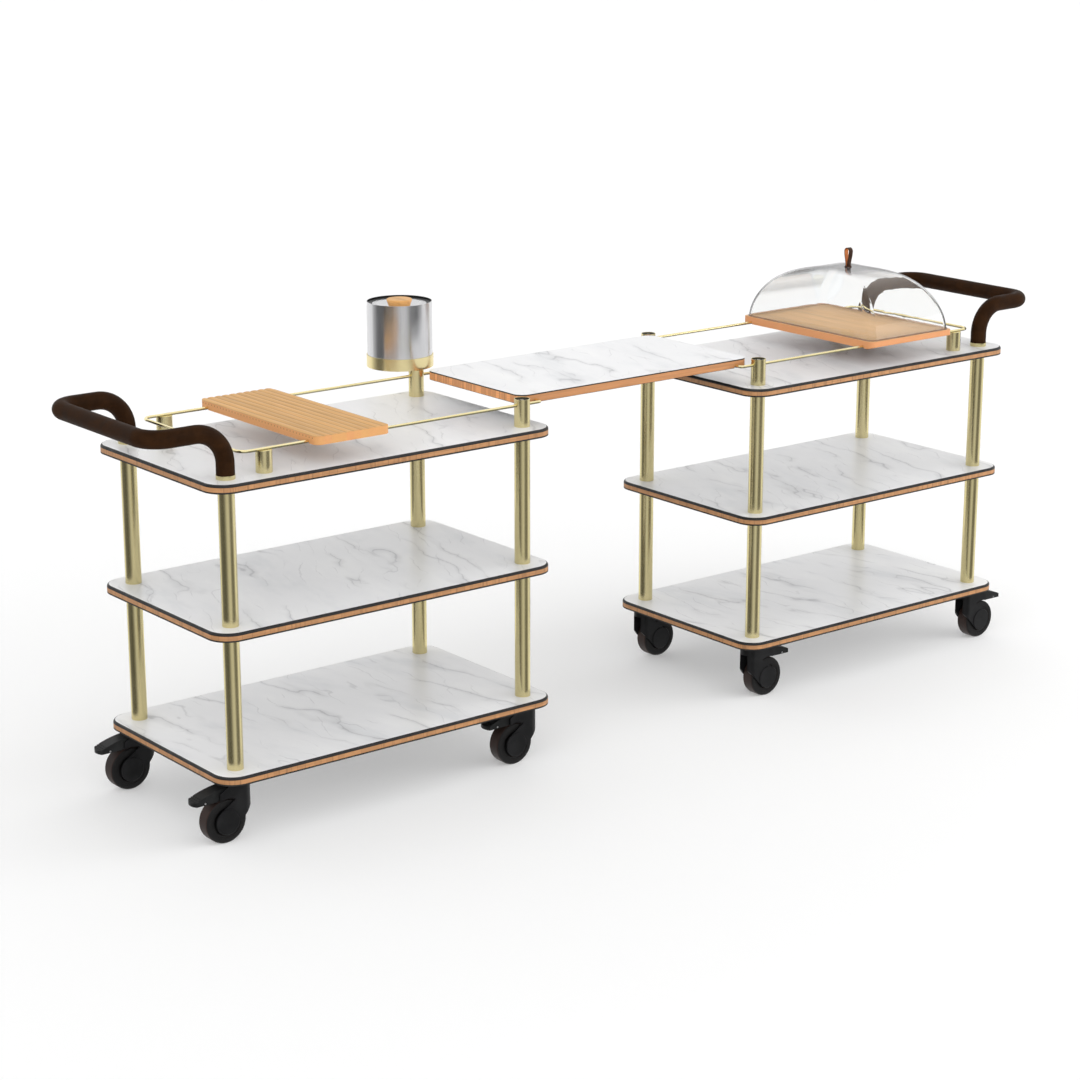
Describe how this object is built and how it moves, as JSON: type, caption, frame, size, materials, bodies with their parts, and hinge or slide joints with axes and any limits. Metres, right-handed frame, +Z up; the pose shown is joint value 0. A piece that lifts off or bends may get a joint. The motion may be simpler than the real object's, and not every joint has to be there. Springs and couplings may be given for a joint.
{
  "type": "buffet cart",
  "caption": "Buffet station: tiered marble-topped serving carts on braked casters, linked by a hook-on bridge shelf, with rails that carry a sliding carving board, domed tray and lidded cooler.",
  "frame": {"origin": "on the floor, midway between the two carts and on their common centre line", "axes": "+X along the station from the cart with the carving board to the cart with the dome, +Y to the back where the cooler hangs, +Z up"},
  "size_m": [3.034, 0.6915, 1.1982],
  "materials": {
    "marble": "glossy white marble decor with grey veins and a black nose",
    "plywood": "clear-coated plywood edge",
    "black_board": "matt black board",
    "brass": "polished pale brass plating",
    "rod_steel": "black coated steel",
    "sleeve": "smooth dark brown wrap",
    "plate_steel": "plain steel",
    "caster_body": "satin black moulding",
    "tyre": "dark brown-black rubber",
    "pedal": "satin black moulding",
    "carving_wood": "light oiled wood with ribs",
    "board_wood": "light oiled wood",
    "clear_dome": "clear moulded plastic",
    "strap": "brown leather strap",
    "steel": "brushed stainless steel",
    "knob_wood": "turned wood"
  },
  "bodies": {
    "cart_a": {"top_slab_a": "marble", "middle_slab_a": "marble", "bottom_slab_a": "marble", "shelf_cores_a": "plywood", "shelf_backings_a": "black_board", "posts_a": "brass", "tie_rods_a": "rod_steel", "rail_posts_a": "brass", "rail_a": "brass", "handle_tube_a": "brass", "handle_sleeve_a": "sleeve", "caster_plates_a": "plate_steel", "cooler_cup": "brass"},
    "cart_b": {"top_slab_b": "marble", "middle_slab_b": "marble", "bottom_slab_b": "marble", "shelf_cores_b": "plywood", "shelf_backings_b": "black_board", "posts_b": "brass", "tie_rods_b": "rod_steel", "rail_posts_b": "brass", "rail_b": "brass", "handle_tube_b": "brass", "handle_sleeve_b": "sleeve", "caster_plates_b": "plate_steel"},
    "bridge": {"bridge_backing": "black_board", "bridge_core": "plywood", "bridge_slab": "marble"},
    "carving_board": {"carving_board": "carving_wood"},
    "cloche_board": {"cloche_board": "board_wood"},
    "dome": {"cloche_dome": "clear_dome", "cloche_loop": "strap"},
    "cooler": {"cooler_shell": "steel", "cooler_liner": "steel"},
    "lid": {"cooler_lid": "steel", "lid_knob": "knob_wood"},
    "fork_a_outer_front": {"caster_fork_a_outer_front": "caster_body"},
    "wheel_a_outer_front": {"caster_wheel_a_outer_front": "tyre"},
    "pedal_a_outer_front": {"brake_pedal_a_outer_front": "pedal"},
    "fork_a_outer_back": {"caster_fork_a_outer_back": "caster_body"},
    "wheel_a_outer_back": {"caster_wheel_a_outer_back": "tyre"},
    "pedal_a_outer_back": {"brake_pedal_a_outer_back": "pedal"},
    "fork_a_inner_front": {"caster_fork_a_inner_front": "caster_body"},
    "wheel_a_inner_front": {"caster_wheel_a_inner_front": "tyre"},
    "pedal_a_inner_front": {"brake_pedal_a_inner_front": "pedal"},
    "fork_a_inner_back": {"caster_fork_a_inner_back": "caster_body"},
    "wheel_a_inner_back": {"caster_wheel_a_inner_back": "tyre"},
    "pedal_a_inner_back": {"brake_pedal_a_inner_back": "pedal"},
    "fork_b_outer_front": {"caster_fork_b_outer_front": "caster_body"},
    "wheel_b_outer_front": {"caster_wheel_b_outer_front": "tyre"},
    "pedal_b_outer_front": {"brake_pedal_b_outer_front": "pedal"},
    "fork_b_outer_back": {"caster_fork_b_outer_back": "caster_body"},
    "wheel_b_outer_back": {"caster_wheel_b_outer_back": "tyre"},
    "pedal_b_outer_back": {"brake_pedal_b_outer_back": "pedal"},
    "fork_b_inner_front": {"caster_fork_b_inner_front": "caster_body"},
    "wheel_b_inner_front": {"caster_wheel_b_inner_front": "tyre"},
    "pedal_b_inner_front": {"brake_pedal_b_inner_front": "pedal"},
    "fork_b_inner_back": {"caster_fork_b_inner_back": "caster_body"},
    "wheel_b_inner_back": {"caster_wheel_b_inner_back": "tyre"},
    "pedal_b_inner_back": {"brake_pedal_b_inner_back": "pedal"}
  },
  "joints": [
    {"name": "bridge_hook", "type": "hinge", "parent": "cart_a", "child": "bridge", "pos_m": [-0.348, 0, 0.961], "axis": [0, 1, 0], "range_deg": [-2, 2]},
    {"name": "cart_b_hook", "type": "hinge", "parent": "bridge", "child": "cart_b", "pos_m": [0.348, 0, 0.961], "axis": [0, 1, 0], "range_deg": [-2, 2]},
    {"name": "carving_slide", "type": "slide", "parent": "cart_a", "child": "carving_board", "axis": [1, 0, 0], "range_m": [-0.1, 0.33]},
    {"name": "cloche_slide", "type": "slide", "parent": "cart_b", "child": "cloche_board", "axis": [1, 0, 0], "range_m": [-0.37, 0.02]},
    {"name": "dome_lift", "type": "slide", "parent": "cloche_board", "child": "dome", "axis": [0, 0, 1], "range_m": [0, 0.2]},
    {"name": "cooler_lift", "type": "slide", "parent": "cart_a", "child": "cooler", "axis": [0, 0, 1], "range_m": [0, 0.2]},
    {"name": "lid_lift", "type": "slide", "parent": "cooler", "child": "lid", "axis": [0, 0, 1], "range_m": [0, 0.15]},
    {"name": "swivel_a_outer_front", "type": "hinge", "parent": "cart_a", "child": "fork_a_outer_front", "pos_m": [-1.2945, -0.232, 0.1478], "axis": [0, 0, 1], "continuous": true},
    {"name": "roll_a_outer_front", "type": "hinge", "parent": "fork_a_outer_front", "child": "wheel_a_outer_front", "pos_m": [-1.3355, -0.232, 0.0565], "axis": [0, 1, 0], "continuous": true},
    {"name": "brake_a_outer_front", "type": "hinge", "parent": "fork_a_outer_front", "child": "pedal_a_outer_front", "pos_m": [-1.3245, -0.232, 0.1328], "axis": [0, -1, 0], "range_deg": [0, 6]},
    {"name": "swivel_a_outer_back", "type": "hinge", "parent": "cart_a", "child": "fork_a_outer_back", "pos_m": [-1.2945, 0.232, 0.1478], "axis": [0, 0, 1], "continuous": true},
    {"name": "roll_a_outer_back", "type": "hinge", "parent": "fork_a_outer_back", "child": "wheel_a_outer_back", "pos_m": [-1.3355, 0.232, 0.0565], "axis": [0, 1, 0], "continuous": true},
    {"name": "brake_a_outer_back", "type": "hinge", "parent": "fork_a_outer_back", "child": "pedal_a_outer_back", "pos_m": [-1.3245, 0.232, 0.1328], "axis": [0, -1, 0], "range_deg": [0, 6]},
    {"name": "swivel_a_inner_front", "type": "hinge", "parent": "cart_a", "child": "fork_a_inner_front", "pos_m": [-0.4105, -0.232, 0.1478], "axis": [0, 0, 1], "continuous": true},
    {"name": "roll_a_inner_front", "type": "hinge", "parent": "fork_a_inner_front", "child": "wheel_a_inner_front", "pos_m": [-0.4515, -0.232, 0.0565], "axis": [0, 1, 0], "continuous": true},
    {"name": "brake_a_inner_front", "type": "hinge", "parent": "fork_a_inner_front", "child": "pedal_a_inner_front", "pos_m": [-0.4405, -0.232, 0.1328], "axis": [0, -1, 0], "range_deg": [0, 6]},
    {"name": "swivel_a_inner_back", "type": "hinge", "parent": "cart_a", "child": "fork_a_inner_back", "pos_m": [-0.4105, 0.232, 0.1478], "axis": [0, 0, 1], "continuous": true},
    {"name": "roll_a_inner_back", "type": "hinge", "parent": "fork_a_inner_back", "child": "wheel_a_inner_back", "pos_m": [-0.4515, 0.232, 0.0565], "axis": [0, 1, 0], "continuous": true},
    {"name": "brake_a_inner_back", "type": "hinge", "parent": "fork_a_inner_back", "child": "pedal_a_inner_back", "pos_m": [-0.4405, 0.232, 0.1328], "axis": [0, -1, 0], "range_deg": [0, 6]},
    {"name": "swivel_b_outer_front", "type": "hinge", "parent": "cart_b", "child": "fork_b_outer_front", "pos_m": [1.2945, -0.232, 0.1478], "axis": [0, 0, 1], "continuous": true},
    {"name": "roll_b_outer_front", "type": "hinge", "parent": "fork_b_outer_front", "child": "wheel_b_outer_front", "pos_m": [1.3355, -0.232, 0.0565], "axis": [0, 1, 0], "continuous": true},
    {"name": "brake_b_outer_front", "type": "hinge", "parent": "fork_b_outer_front", "child": "pedal_b_outer_front", "pos_m": [1.3245, -0.232, 0.1328], "axis": [0, 1, 0], "range_deg": [0, 6]},
    {"name": "swivel_b_outer_back", "type": "hinge", "parent": "cart_b", "child": "fork_b_outer_back", "pos_m": [1.2945, 0.232, 0.1478], "axis": [0, 0, 1], "continuous": true},
    {"name": "roll_b_outer_back", "type": "hinge", "parent": "fork_b_outer_back", "child": "wheel_b_outer_back", "pos_m": [1.3355, 0.232, 0.0565], "axis": [0, 1, 0], "continuous": true},
    {"name": "brake_b_outer_back", "type": "hinge", "parent": "fork_b_outer_back", "child": "pedal_b_outer_back", "pos_m": [1.3245, 0.232, 0.1328], "axis": [0, 1, 0], "range_deg": [0, 6]},
    {"name": "swivel_b_inner_front", "type": "hinge", "parent": "cart_b", "child": "fork_b_inner_front", "pos_m": [0.4105, -0.232, 0.1478], "axis": [0, 0, 1], "continuous": true},
    {"name": "roll_b_inner_front", "type": "hinge", "parent": "fork_b_inner_front", "child": "wheel_b_inner_front", "pos_m": [0.4515, -0.232, 0.0565], "axis": [0, 1, 0], "continuous": true},
    {"name": "brake_b_inner_front", "type": "hinge", "parent": "fork_b_inner_front", "child": "pedal_b_inner_front", "pos_m": [0.4405, -0.232, 0.1328], "axis": [0, 1, 0], "range_deg": [0, 6]},
    {"name": "swivel_b_inner_back", "type": "hinge", "parent": "cart_b", "child": "fork_b_inner_back", "pos_m": [0.4105, 0.232, 0.1478], "axis": [0, 0, 1], "continuous": true},
    {"name": "roll_b_inner_back", "type": "hinge", "parent": "fork_b_inner_back", "child": "wheel_b_inner_back", "pos_m": [0.4515, 0.232, 0.0565], "axis": [0, 1, 0], "continuous": true},
    {"name": "brake_b_inner_back", "type": "hinge", "parent": "fork_b_inner_back", "child": "pedal_b_inner_back", "pos_m": [0.4405, 0.232, 0.1328], "axis": [0, 1, 0], "range_deg": [0, 6]}
  ]
}
